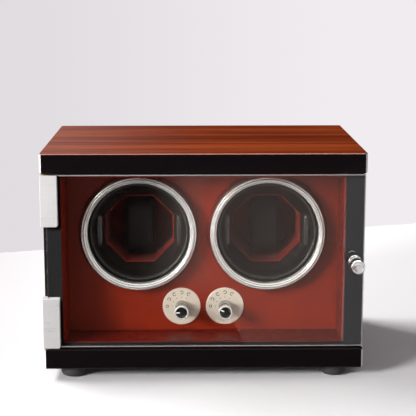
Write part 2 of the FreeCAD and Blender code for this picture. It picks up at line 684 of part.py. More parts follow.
def shaft_bush(x):
    return turned([(SHAFT_R + RUNNING_GAP, PLATE_FRONT - 1.5), (BUSH_FLANGE_R, PLATE_FRONT - 1.5),
                   (BUSH_FLANGE_R, PLATE_FRONT), (BUSH_R, PLATE_FRONT), (BUSH_R, PLATE_BACK + 3.0),
                   (SHAFT_R + RUNNING_GAP, PLATE_BACK + 3.0)], x, DRUM_Z)


def gear_motor(x):
    gearbox = rod(GEARBOX_R, x, MOTOR_Z, PLATE_FRONT - 14.0, PLATE_FRONT)
    gearbox = gearbox.makeFillet(1.0, edges_where(gearbox, lambda e: e.BoundBox.YLength < 1e-6
                                                  and e.BoundBox.Center.y < FRONT_Y + PLATE_FRONT - 10))
    can = rod(MOTOR_CAN_R, x, MOTOR_Z, PLATE_FRONT - 36.0, PLATE_FRONT - 13.0)
    end = rod(MOTOR_CAN_R - 5.0, x, MOTOR_Z, PLATE_FRONT - 38.0, PLATE_FRONT - 35.0)
    boss = rod(MOTOR_BOSS_R, x, MOTOR_Z, PLATE_FRONT - 1, PLATE_BACK)
    solid = gearbox.fuse(can).fuse(end).fuse(boss)
    solid = solid.cut(rod(MOTOR_SPINDLE_R + RUNNING_GAP, x, MOTOR_Z, PLATE_FRONT - 8.0, PLATE_BACK + 1))
    for sx, sz in motor_screw_places(x):
        solid = solid.cut(rod(RING_SCREW_R + FIT, sx, sz, PLATE_FRONT - 4.0, PLATE_FRONT + 1))
    return solid.removeSplitter()


def motor_pulley(x):
    wheel = groove_pulley(x, MOTOR_Z, MOTOR_PULLEY_PITCH_R, 0, 1.3, 4.5, PLATE_BACK + 1.5,
                          BELT_DEPTH + PULLEY_T / 2 + 1.0)
    return wheel.fuse(rod(MOTOR_SPINDLE_R, x, MOTOR_Z, PLATE_FRONT - 7.5, PLATE_BACK + 2.0)).removeSplitter()


def drive_belt(x):
    """A round belt: two arcs on the pulleys and the two straight runs between them."""
    lean = math.asin((PULLEY_PITCH_R - MOTOR_PULLEY_PITCH_R) / MOTOR_DROP)
    edges = []
    touch = {}
    for side in (-1, 1):
        out = Vector(side * math.cos(lean), 0, -math.sin(lean))
        touch[side] = (at(x, BELT_DEPTH, DRUM_Z) + out * PULLEY_PITCH_R,
                       at(x, BELT_DEPTH, MOTOR_Z) + out * MOTOR_PULLEY_PITCH_R)
        edges.append(Part.LineSegment(*touch[side]).toShape())
    edges.append(Part.Arc(touch[-1][0], at(x, BELT_DEPTH, DRUM_Z + PULLEY_PITCH_R), touch[1][0]).toShape())
    edges.append(Part.Arc(touch[-1][1], at(x, BELT_DEPTH, MOTOR_Z - MOTOR_PULLEY_PITCH_R), touch[1][1]).toShape())
    path = Part.Wire(Part.__sortEdges__(edges))
    start = path.OrderedEdges[0]
    place, way = start.valueAt(start.FirstParameter), start.tangentAt(start.FirstParameter)
    return path.makePipeShell([Part.Wire(Part.makeCircle(BELT_R, place, way))], True, True)


def control_board():
    top = CIRCUIT_Z + CIRCUIT_T
    board_solid = block(-CIRCUIT_HALF_W, CIRCUIT_HALF_W, CIRCUIT_FRONT, CIRCUIT_BACK, CIRCUIT_Z, top)
    standoffs = []
    for x in (-CIRCUIT_HALF_W + 4, CIRCUIT_HALF_W - 4):
        for depth in (CIRCUIT_FRONT + 12, CIRCUIT_BACK - 4):
            board_solid = board_solid.cut(post(1.3, x, depth, CIRCUIT_Z - 1, top + 1))
            standoffs.append(post(STANDOFF_R, x, depth, Z_BODY, CIRCUIT_Z).fuse(post(1.2, x, depth, Z_BODY, top + 1.2)))
    export("control_board", board_solid)
    export("board_standoffs", *standoffs)
    chips = [block(x - 4, x + 4, CIRCUIT_FRONT, CIRCUIT_FRONT + 6, top, top + 7) for x in PLUG_X]
    chips.append(block(-7, 7, CIRCUIT_FRONT + 12, CIRCUIT_FRONT + 20, top, top + 3))
    for x in (-18.0, 18.0):
        chips.append(post(4.0, x, CIRCUIT_FRONT + 24, top, top + 11))
    export("board_components", *chips)


def power_jack():
    body = block(-4.6, 4.6, COVER_FRONT - 16, COVER_FRONT, CIRCUIT_Z + CIRCUIT_T, JACK_Z + 5.4)
    nose = rod(JACK_NOSE_R, 0, JACK_Z, COVER_FRONT - 1, COVER_FRONT + REAR_COVER_T)
    solid = body.fuse(nose).cut(rod(JACK_BORE, 0, JACK_Z, COVER_FRONT - 8, COVER_FRONT + 4))
    pin = rod(1.05, 0, JACK_Z, COVER_FRONT - 10, COVER_FRONT + REAR_COVER_T - 1.0)
    return solid.fuse(pin).removeSplitter()


def wiring():
    leads = []
    for sign, plug in ((-1, PLUG_X[0]), (1, PLUG_X[3])):
        x = sign * DRUM_X
        leads.append(lead([at(x, PLATE_FRONT - 26, MOTOR_Z - MOTOR_CAN_R - 0.1), at(x, PLATE_FRONT - 26, LEAD_Z),
                           at(plug, PLATE_FRONT - 12, LEAD_Z), at(plug, CIRCUIT_FRONT - 0.1, LEAD_Z)], LEAD_R, 4.0))
    for sign, plug in ((-1, PLUG_X[1]), (1, PLUG_X[2])):
        x = sign * SELECTOR_X
        start = PANEL_FRONT + PANEL_T + SWITCH_DEPTH + 0.1
        leads.append(lead([at(x, start, SELECTOR_Z), at(x, start + 14, SELECTOR_Z), at(plug, start + 26, LEAD_Z),
                           at(plug, CIRCUIT_FRONT - 0.1, LEAD_Z)], LEAD_R, 4.0))
    return leads


def mechanism():
    export("mechanism_plate", mechanism_plate())
    export("shaft_bushes", shaft_bush(-DRUM_X), shaft_bush(DRUM_X))
    for sign, side in ((-1, "left"), (1, "right")):
        x = sign * DRUM_X
        export("gear_motor_" + side, gear_motor(x))
        export("motor_pulley_" + side, motor_pulley(x))
        export("drive_belt_" + side, drive_belt(x))
    control_board()
    export("power_jack", power_jack())
    export("wiring", *wiring())


# ---- door ---------------------------------------------------------------------------------------------


def pivot_bush(z_mouth, into):
    """A brass bush in a board, with a thin collar the clamp turns on. into is +1 upwards, -1 downwards."""
    z0, z1 = sorted((z_mouth, z_mouth + into * BUSH_LEN))
    c0, c1 = sorted((z_mouth, z_mouth - into * (DOOR_GAP - 0.1)))
    solid = post(BUSH_OUT_R, PIVOT_X, PIVOT_DEPTH, z0, z1).fuse(post(3.0, PIVOT_X, PIVOT_DEPTH, c0, c1))
    b0, b1 = sorted((z_mouth - into * 2, z_mouth + into * (BUSH_LEN - 0.8)))
    return solid.cut(post(PIVOT_R + RUNNING_GAP, PIVOT_X, PIVOT_DEPTH, b0, b1))


def clamp_grub_places(z0):
    return [z0 + CLAMP_H * 0.3, z0 + CLAMP_H * 0.7]


def hinge_clamp(z0, pin_up):
    """A channel closed on its left and at the end nearer its board, with the pivot pin on that end."""
    z1 = z0 + CLAMP_H
    left, right = -HALF_W, -HALF_W + CLAMP_W
    solid = block(left, right, 0, CLAMP_D, z0, z1)
    front_corner = edges_where(solid, lambda e: abs(e.BoundBox.Center.x - right) < 1e-6 and e.BoundBox.YLength > 1
                               and abs(e.BoundBox.Center.z - z0) < 1e-6)
    solid = solid.makeFillet(1.6, front_corner)
    rims = edges_where(solid, lambda e: e.BoundBox.YMax < FRONT_Y + 1e-6)
    solid = solid.makeFillet(0.35, rims)
    s0, s1 = (z0 - 1, z1 - CLAMP_CAP) if pin_up else (z0 + CLAMP_CAP, z1 + 1)
    slot = block(GLASS_LEFT - 0.1, right + 1, GLASS_FRONT - 0.05, GLASS_FRONT + GLASS_T + 0.05, s0, s1)
    solid = solid.cut(slot)
    for z in clamp_grub_places(z0):
        solid = solid.cut(rod(GRUB_R + FIT, GRUB_X, z, GLASS_FRONT + GLASS_T, CLAMP_D + 1))
    p0, p1 = (z1 - 1, z1 + DOOR_GAP + PIVOT_LEN) if pin_up else (z0 - DOOR_GAP - PIVOT_LEN, z0 + 1)
    return solid.fuse(post(PIVOT_R, PIVOT_X, PIVOT_DEPTH, p0, p1)).removeSplitter()


def door_glass():
    solid = block(GLASS_LEFT, GLASS_RIGHT, GLASS_FRONT, GLASS_FRONT + GLASS_T, DOOR_BOTTOM, DOOR_TOP)
    solid = solid.makeChamfer(GLASS_CHAMFER, solid.Edges)
    for z0, z1 in ((DOOR_BOTTOM - 1, CLAMP_BOTTOM + CLAMP_CAP), (CLAMP_TOP - CLAMP_CAP, DOOR_TOP + 1)):
        solid = solid.cut(block(GLASS_LEFT - 1, -HALF_W + CLAMP_W + 0.3, 0, 10, z0 - 0.2, z1 + 0.2))
    return solid.cut(rod(KNOB_HOLE_R, KNOB_X, KNOB_Z, 0, 10))


def glass_border():
    """Enamel printed on the back of the glass, round the window and clear of the clamps."""
    back = GLASS_FRONT + GLASS_T
    inset = GLASS_CHAMFER
    sheet = block(GLASS_LEFT + inset, GLASS_RIGHT - inset, back, back + BORDER_T,
                  DOOR_BOTTOM + inset, DOOR_TOP - inset)
    window = block(-WINDOW_HALF_W, WINDOW_HALF_W, back - 1, back + 1,
                   DOOR_BOTTOM + WINDOW_BOTTOM, DOOR_TOP - WINDOW_TOP)
    window = window.makeFillet(1.5, edges_where(window, lambda e: e.BoundBox.YLength > 1))
    sheet = sheet.cut(window).cut(rod(KNOB_HEAD_R + 0.2, KNOB_X, KNOB_Z, 0, 10))
    for z0 in (CLAMP_BOTTOM, CLAMP_TOP - CLAMP_H):
        sheet = sheet.cut(block(GLASS_LEFT - 1, -HALF_W + CLAMP_W + 0.1, 0, 10, z0 - 0.3, z0 + CLAMP_H + 0.3))
    return sheet


def door_knob():
    """A bright pull: foot, slim waist and a rounded head."""
    seat, tip = GLASS_FRONT, -KNOB_REACH
    foot, waist, head = 5.5, 4.5, 5.9
    solid = turned([(0, seat), (foot, seat), (foot, seat - 1.8), ((foot - 0.2, seat - 2.4), (foot - 0.7, seat - 2.6)),
                    (waist, seat - 3.0), (waist, seat - 4.2), (waist + 0.6, seat - 4.5), (waist + 0.6, seat - 6.0),
                    (waist, seat - 6.3), (waist, seat - 9.0), ((waist + 0.4, seat - 11.2), (head, seat - 12.8)),
                    (head, tip + 1.8), ((head - 0.45, tip + 0.55), (head - 1.6, tip + 0.15)),
                    (head - 2.0, tip + 0.5), ((head - 3.2, tip + 0.1), (head - 4.6, tip)), (0, tip)],
                   KNOB_X, KNOB_Z)
    return solid.cut(rod(GRUB_R + FIT, KNOB_X, KNOB_Z, seat - 8, seat + 1))


def knob_screw():
    back = GLASS_FRONT + GLASS_T
    shank = rod(GRUB_R, KNOB_X, KNOB_Z, GLASS_FRONT - 7.5, back + 1)
    head = rod(KNOB_HEAD_R, KNOB_X, KNOB_Z, back, back + 1.5)
    slot = block(KNOB_X - 3, KNOB_X + 3, back + 0.8, back + 2, KNOB_Z - 0.4, KNOB_Z + 0.4)
    return shank.fuse(head).cut(slot)


def door():
    export("pivot_bushes", pivot_bush(Z_TOP_BOARD, 1), pivot_bush(Z_BODY, -1))
    export("catch_magnet", rod(MAGNET_R, KNOB_X, KNOB_Z, MAGNET_FRONT, MAGNET_BACK))
    bumpers = []
    for z in (DOOR_BOTTOM + 12, DOOR_TOP - 12):
        dot = rod(3.5, KNOB_X, z, GLASS_FRONT + GLASS_T + BORDER_T + 0.1, SIDE_FRONT)
        bumpers.append(dot.makeFillet(1.0, edges_where(dot, lambda e: e.BoundBox.YMax < FRONT_Y + SIDE_FRONT - 1)))
    export("door_bumpers", *bumpers)
    export("door_glass", door_glass())
    export("glass_border", glass_border())
    export("hinge_clamp_upper", hinge_clamp(CLAMP_TOP - CLAMP_H, True))
    export("hinge_clamp_lower", hinge_clamp(CLAMP_BOTTOM, False))
    grubs = []
    for z0 in (CLAMP_BOTTOM, CLAMP_TOP - CLAMP_H):
        for z in clamp_grub_places(z0):
            grub = rod(GRUB_R, GRUB_X, z, GLASS_FRONT + GLASS_T + 0.1, CLAMP_D)
            grubs.append(grub.cut(block(GRUB_X - 1, GRUB_X + 1, CLAMP_D - 0.8, CLAMP_D + 1, z - 0.25, z + 0.25)))
    export("hinge_screws", *grubs)
    export("door_knob", door_knob())
    export("knob_screw", knob_screw())


case()
recess()
selectors()
drums()
mechanism()
door()
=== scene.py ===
"""Looks for the two-drum watch winder box: materials, watch cushions, dial marks, floor, light and camera."""
import math
import bmesh
import bpy
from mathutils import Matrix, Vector

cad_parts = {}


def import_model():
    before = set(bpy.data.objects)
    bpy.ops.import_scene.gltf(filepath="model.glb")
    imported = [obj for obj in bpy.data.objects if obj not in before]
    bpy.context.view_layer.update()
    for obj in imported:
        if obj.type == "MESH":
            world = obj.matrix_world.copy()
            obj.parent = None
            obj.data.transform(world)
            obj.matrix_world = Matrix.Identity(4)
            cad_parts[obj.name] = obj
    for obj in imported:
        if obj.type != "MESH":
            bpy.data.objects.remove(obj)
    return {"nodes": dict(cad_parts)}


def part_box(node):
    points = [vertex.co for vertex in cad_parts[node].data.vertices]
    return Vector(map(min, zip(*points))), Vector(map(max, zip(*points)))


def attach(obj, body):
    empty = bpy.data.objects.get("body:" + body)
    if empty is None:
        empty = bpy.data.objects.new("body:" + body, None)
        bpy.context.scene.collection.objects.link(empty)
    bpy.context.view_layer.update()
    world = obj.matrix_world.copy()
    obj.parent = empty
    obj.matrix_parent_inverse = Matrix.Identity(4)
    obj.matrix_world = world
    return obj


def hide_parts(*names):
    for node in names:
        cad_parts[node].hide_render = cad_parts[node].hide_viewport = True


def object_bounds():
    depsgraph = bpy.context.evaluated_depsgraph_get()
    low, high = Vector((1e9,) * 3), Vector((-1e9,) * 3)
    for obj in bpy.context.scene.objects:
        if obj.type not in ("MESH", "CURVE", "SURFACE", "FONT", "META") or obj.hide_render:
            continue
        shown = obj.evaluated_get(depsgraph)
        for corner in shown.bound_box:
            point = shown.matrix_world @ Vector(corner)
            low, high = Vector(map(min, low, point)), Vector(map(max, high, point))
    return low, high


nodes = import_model()["nodes"]
CAD_LOW, CAD_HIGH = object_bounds()
SIDES = ("left", "right")
BLACK_EDGE = (0.010, 0.008, 0.008)
CAMERA_HEIGHT, CAMERA_AWAY, CAMERA_ASIDE = 0.3275, 0.945, -0.0126
CAMERA_DOWN, CAMERA_TURN = 11.05, -0.97          # degrees
PILLOW_SHRINK = (0.90, 0.93, 0.95)               # of the cushion's space, before it swells
PILLOW_VOXEL, PILLOW_SWELL, PILLOW_STEPS = 0.0022, 0.003, 20
CORD_RADIUS, CORD_SUNK = 0.0007, 0.0004


# ---- camera -------------------------------------------------------------------------------------------
def make_camera():
    data = bpy.data.cameras.new("camera")
    data.sensor_width = 36.0
    data.lens = 104.0
    data.clip_start, data.clip_end = 0.05, 30.0
    cam = bpy.data.objects.new("camera", data)
    bpy.context.scene.collection.objects.link(cam)
    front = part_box("top_board")[0].y
    cam.location = (CAMERA_ASIDE, front - CAMERA_AWAY, CAMERA_HEIGHT)
    cam.rotation_euler = (math.radians(90 - CAMERA_DOWN), 0, math.radians(CAMERA_TURN))
    bpy.context.scene.camera = cam


make_camera()


# ---- node helpers -------------------------------------------------------------------------------------
class Shader:
    """A node tree with a Principled shader, and short calls to build what drives it."""

    def __init__(self, name, base=(0.5, 0.5, 0.5), rough=0.5, metal=0.0, ior=1.5, coat=0.0, coat_rough=0.03):
        self.mat = bpy.data.materials.new(name)
        self.mat.use_nodes = True
        self.tree = self.mat.node_tree
        self.bsdf = self.tree.nodes["Principled BSDF"]
        self.out = self.tree.nodes["Material Output"]
        self.set("Base Color", (*base, 1.0))
        self.set("Roughness", rough)
        self.set("Metallic", metal)
        self.set("IOR", ior)
        self.set("Coat Weight", coat)
        self.set("Coat Roughness", coat_rough)
        self.coords = self.node("ShaderNodeTexCoord").outputs["Object"]

    def set(self, name, value):
        self.bsdf.inputs[name].default_value = value

    def node(self, kind, **values):
        made = self.tree.nodes.new(kind)
        for key, value in values.items():
            setattr(made, key, value)
        return made

    def link(self, source, target):
        if isinstance(target, str):
            target = self.bsdf.inputs[target]
        self.tree.links.new(source, target)

    def stretched(self, scale=(1, 1, 1), shift=(0, 0, 0)):
        made = self.node("ShaderNodeMapping")
        made.inputs["Scale"].default_value = scale
        made.inputs["Location"].default_value = shift
        self.link(self.coords, made.inputs["Vector"])
        return made.outputs["Vector"]

    def noise(self, vector, scale, detail=4.0, rough=0.5, distortion=0.0):
        made = self.node("ShaderNodeTexNoise")
        for key, value in (("Scale", scale), ("Detail", detail), ("Roughness", rough), ("Distortion", distortion)):
            made.inputs[key].default_value = value
        self.link(vector, made.inputs["Vector"])
        return made.outputs["Fac"]

    def cells(self, vector, scale):
        made = self.node("ShaderNodeTexVoronoi", feature="DISTANCE_TO_EDGE")
        made.inputs["Scale"].default_value = scale
        self.link(vector, made.inputs["Vector"])
        return made.outputs["Distance"]

    def ramp(self, fac, *stops):
        made = self.node("ShaderNodeValToRGB")
        points = made.color_ramp.elements
        while len(points) < len(stops):
            points.new(0.5)
        for point, (place, colour) in zip(points, stops):
            point.position = place
            point.color = (*colour, 1.0) if isinstance(colour, tuple) else (colour, colour, colour, 1.0)
        self.link(fac, made.inputs["Fac"])
        return made.outputs["Color"]

    def mix(self, fac, a, b, blend="MIX"):
        made = self.node("ShaderNodeMix", data_type="RGBA", blend_type=blend)
        for socket, value in ((made.inputs[0], fac), (made.inputs[6], a), (made.inputs[7], b)):
            if isinstance(value, (int, float)):
                socket.default_value = value
            elif isinstance(value, tuple):
                socket.default_value = (*value, 1.0)
            else:
                self.link(value, socket)
        return made.outputs[2]

    def maths(self, operation, a, b=0.0, c=0.0):
        made = self.node("ShaderNodeMath", operation=operation)
        for socket, value in zip(made.inputs, (a, b, c)):
            if isinstance(value, (int, float)):
                socket.default_value = value
            else:
                self.link(value, socket)
        return made.outputs[0]

    def split(self, vector):
        made = self.node("ShaderNodeSeparateXYZ")
        self.link(vector, made.inputs[0])
        return made.outputs

    def bump(self, height, strength, distance, also=None):
        made = self.node("ShaderNodeBump")
        made.inputs["Strength"].default_value = strength
        made.inputs["Distance"].default_value = distance
        self.link(height, made.inputs["Height"])
        if also is not None:
            self.link(also, made.inputs["Normal"])
        self.link(made.outputs["Normal"], "Normal")
        return made.outputs["Normal"]

    def vary_rough(self, low, high, scale):
        fac = self.noise(self.stretched(), scale, 5.0, 0.6)
        self.link(self.ramp(fac, (0.3, low), (0.7, high)), "Roughness")


def dress(material, *names):
    for name in names:
        mesh = nodes[name].data
        mesh.materials.clear()
        mesh.materials.append(material)


# ---- materials ----------------------------------------------------------------------------------------
def rosewood(name, shift, tint=1.0, front_paint_and_highlight=BLACK_EDGE, along=0):
    """Red rosewood, its grain along one axis, under gloss lacquer. Faces to the front take a set colour: black paint
    on the side panels, a pale painted highlight along the top veneer's front edge.
    """
    s = Shader(name, rough=0.35, coat=0.20, coat_rough=0.03)
    s.set("Specular IOR Level", 0.08)

    def drawn_out(lengthwise, across):
        return s.stretched(tuple(lengthwise if axis == along else across for axis in range(3)), shift)

    wave = s.noise(drawn_out(2.2, 5.0), 3.0, 3.0, 0.5)
    bands = s.noise(drawn_out(1.6, 34.0), 1.3, 6.0, 0.55, 0.9)
    fine = s.noise(drawn_out(14.0, 620.0), 1.0, 4.0, 0.6)
    pores = s.noise(drawn_out(90.0, 1900.0), 1.0, 2.0, 0.5)
    dark = tuple(tint * v for v in (0.070, 0.0088, 0.0022))
    middle = tuple(tint * v for v in (0.170, 0.0240, 0.0046))
    light = tuple(tint * v for v in (0.300, 0.0520, 0.0115))
    colour = s.ramp(s.maths("ADD", s.maths("MULTIPLY", bands, 0.75), s.maths("MULTIPLY", wave, 0.25)),
                    (0.34, dark), (0.47, middle), (0.60, light), (0.72, middle))
    colour = s.mix(0.30, colour, s.ramp(fine, (0.35, 0.55), (0.65, 1.0)), "MULTIPLY")
    colour = s.mix(0.35, colour, s.ramp(pores, (0.30, 0.30), (0.42, 1.0)), "MULTIPLY")
    # front faces take the set colour: black paint on the sides, a painted highlight on the top veneer
    edge = s.maths("LESS_THAN", s.split(s.node("ShaderNodeTexCoord").outputs["Normal"])[1], -0.5)
    s.link(s.mix(edge, colour, front_paint_and_highlight), "Base Color")
    s.bump(fine, 0.05, 0.0001)
    return s.mat


def painted_highlight_corners(s, colour, painted_highlight):
    """The upright corner chamfers, given a pale base colour: a painted highlight where the lacquer catches the light.
    """
    faces = s.split(s.node("ShaderNodeTexCoord").outputs["Normal"])
    across = s.maths("ABSOLUTE", s.maths("MULTIPLY", faces[0], faces[1]))
    s.link(s.mix(s.maths("GREATER_THAN", across, 0.4), colour, painted_highlight), "Base Color")


def piano_lacquer(name, colour, rough=0.06, specular=0.12, corners=False):
    s = Shader(name, base=colour, rough=rough, coat=0.05, coat_rough=0.02)
    s.set("Specular IOR Level", specular)
    s.vary_rough(rough * 0.7, rough * 1.5, 9.0)
    s.bump(s.noise(s.stretched(), 28.0, 2.0, 0.4), 0.02, 0.0004)
    if corners:
        # painted highlight: a pale grey base colour on the upright corner chamfers
        painted_highlight_corners(s, colour, (0.55, 0.54, 0.53))
    return s.mat


def leather(name, dark, light, rough=0.42, grain=900.0, strength=0.25, specular=0.06):
    """Pebbled leather: small cells with creases between, a slow drift in colour, satin finish."""
    s = Shader(name, rough=rough)
    s.set("Specular IOR Level", specular)
    cells = s.cells(s.coords, grain)
    crease = s.ramp(cells, (0.0, 0.0), (0.12, 1.0))
    tone = s.noise(s.coords, 26.0, 5.0, 0.6)
    colour = s.ramp(tone, (0.30, dark), (0.70, light))
    colour = s.mix(0.35, colour, crease, "MULTIPLY")
    s.link(colour, "Base Color")
    s.link(s.ramp(s.noise(s.coords, 150.0, 4.0, 0.5), (0.3, rough * 0.85), (0.7, rough * 1.2)), "Roughness")
    first = s.bump(crease, strength, 0.00012)
    s.bump(s.noise(s.coords, 140.0, 5.0, 0.6), strength * 0.6, 0.0003, first)
    return s.mat


def chrome(name, colour, rough=0.05, metal=1.0):
    s = Shader(name, base=colour, rough=rough, metal=metal)
    s.vary_rough(rough * 0.6, rough * 1.7, 45.0)
    return s.mat


def brushed(name, colour, rough=0.28, stretch=(1, 1, 60), scale=40.0, depth=0.00004, metal=1.0):
    """Metal with fine brushing across the stretch direction."""
    s = Shader(name, base=colour, rough=rough, metal=metal)
    lines = s.noise(s.stretched(stretch), scale, 6.0, 0.7)
    s.link(s.ramp(lines, (0.3, rough * 0.75), (0.7, rough * 1.25)), "Roughness")
    s.link(s.mix(0.12, colour, s.ramp(lines, (0.3, 0.6), (0.7, 1.0)), "MULTIPLY"), "Base Color")
    s.bump(lines, 0.12, depth)
    return s.mat


def spun(name, colour, centre_x, centre_z, rough=0.30):
    """Pale anodised metal turned on a lathe about Y: fine rings round the centre."""
    s = Shader(name, base=colour, rough=rough, metal=0.35)
    place = s.split(s.coords)
    dx = s.maths("SUBTRACT", s.maths("ABSOLUTE", place[0]), centre_x)
    dz = s.maths("SUBTRACT", place[2], centre_z)
    radius = s.maths("SQRT", s.maths("ADD", s.maths("POWER", dx, 2.0), s.maths("POWER", dz, 2.0)))
    join = s.node("ShaderNodeCombineXYZ")
    s.link(s.maths("MULTIPLY", radius, 2600.0), join.inputs[0])
    lines = s.noise(join.outputs[0], 1.0, 4.0, 0.7)
    s.link(s.ramp(lines, (0.3, rough * 0.8), (0.7, rough * 1.3)), "Roughness")
    s.link(s.mix(0.10, colour, s.ramp(lines, (0.3, 0.7), (0.7, 1.0)), "MULTIPLY"), "Base Color")
    s.bump(lines, 0.08, 0.00003)
    return s.mat


def moulded(name, colour, rough=0.45, spark=0.05):
    """Moulded plastic or rubber: even colour, fine spark-eroded texture."""
    s = Shader(name, base=colour, rough=rough)
    s.vary_rough(rough * 0.85, rough * 1.15, 220.0)
    tone = s.ramp(s.noise(s.coords, 35.0, 4.0, 0.6), (0.3, 0.85), (0.7, 1.0))
    s.link(s.mix(1.0, colour, tone, "MULTIPLY"), "Base Color")
    s.bump(s.noise(s.coords, 2400.0, 2.0, 0.5), spark, 0.00005)
    return s.mat


def velvet(name, dark, light):
    s = Shader(name, rough=0.85)
    s.set("Specular IOR Level", 0.1)
    s.set("Sheen Weight", 0.04)
    s.set("Sheen Roughness", 0.4)
    fibre = s.noise(s.coords, 2600.0, 3.0, 0.6)
    lie = s.noise(s.coords, 70.0, 3.0, 0.5)
    s.link(s.mix(0.4, s.ramp(lie, (0.3, dark), (0.7, light)), s.ramp(fibre, (0.3, 0.4), (0.7, 1.0)), "MULTIPLY"),
           "Base Color")
    s.bump(fibre, 0.4, 0.0002)
    return s.mat


def board_fibre(name, dark, light):
    s = Shader(name, rough=0.7)
    fleck = s.noise(s.coords, 700.0, 5.0, 0.7)
    s.link(s.ramp(fleck, (0.35, dark), (0.65, light)), "Base Color")
    s.bump(fleck, 0.2, 0.0001)
    return s.mat


def clear_glass(name):
    """Clear polished float glass. Lamps reach what is behind it."""
    s = Shader(name, base=(0.955, 0.970, 0.960), rough=0.0, ior=1.5)
    s.set("Transmission Weight", 1.0)
    s.link(s.ramp(s.noise(s.coords, 11.0, 3.0, 0.5), (0.3, (0.965, 0.975, 0.968)), (0.8, (0.950, 0.965, 0.956))),
           "Base Color")
    path = s.node("ShaderNodeLightPath")
    through = s.node("ShaderNodeBsdfTransparent")
    through.inputs["Color"].default_value = (0.955, 0.970, 0.960, 1.0)
    mix = s.node("ShaderNodeMixShader")
    s.link(path.outputs["Is Shadow Ray"], mix.inputs[0])
    s.link(s.bsdf.outputs[0], mix.inputs[1])
    s.link(through.outputs[0], mix.inputs[2])
    s.link(mix.outputs[0], s.out.inputs["Surface"])
    return s.mat


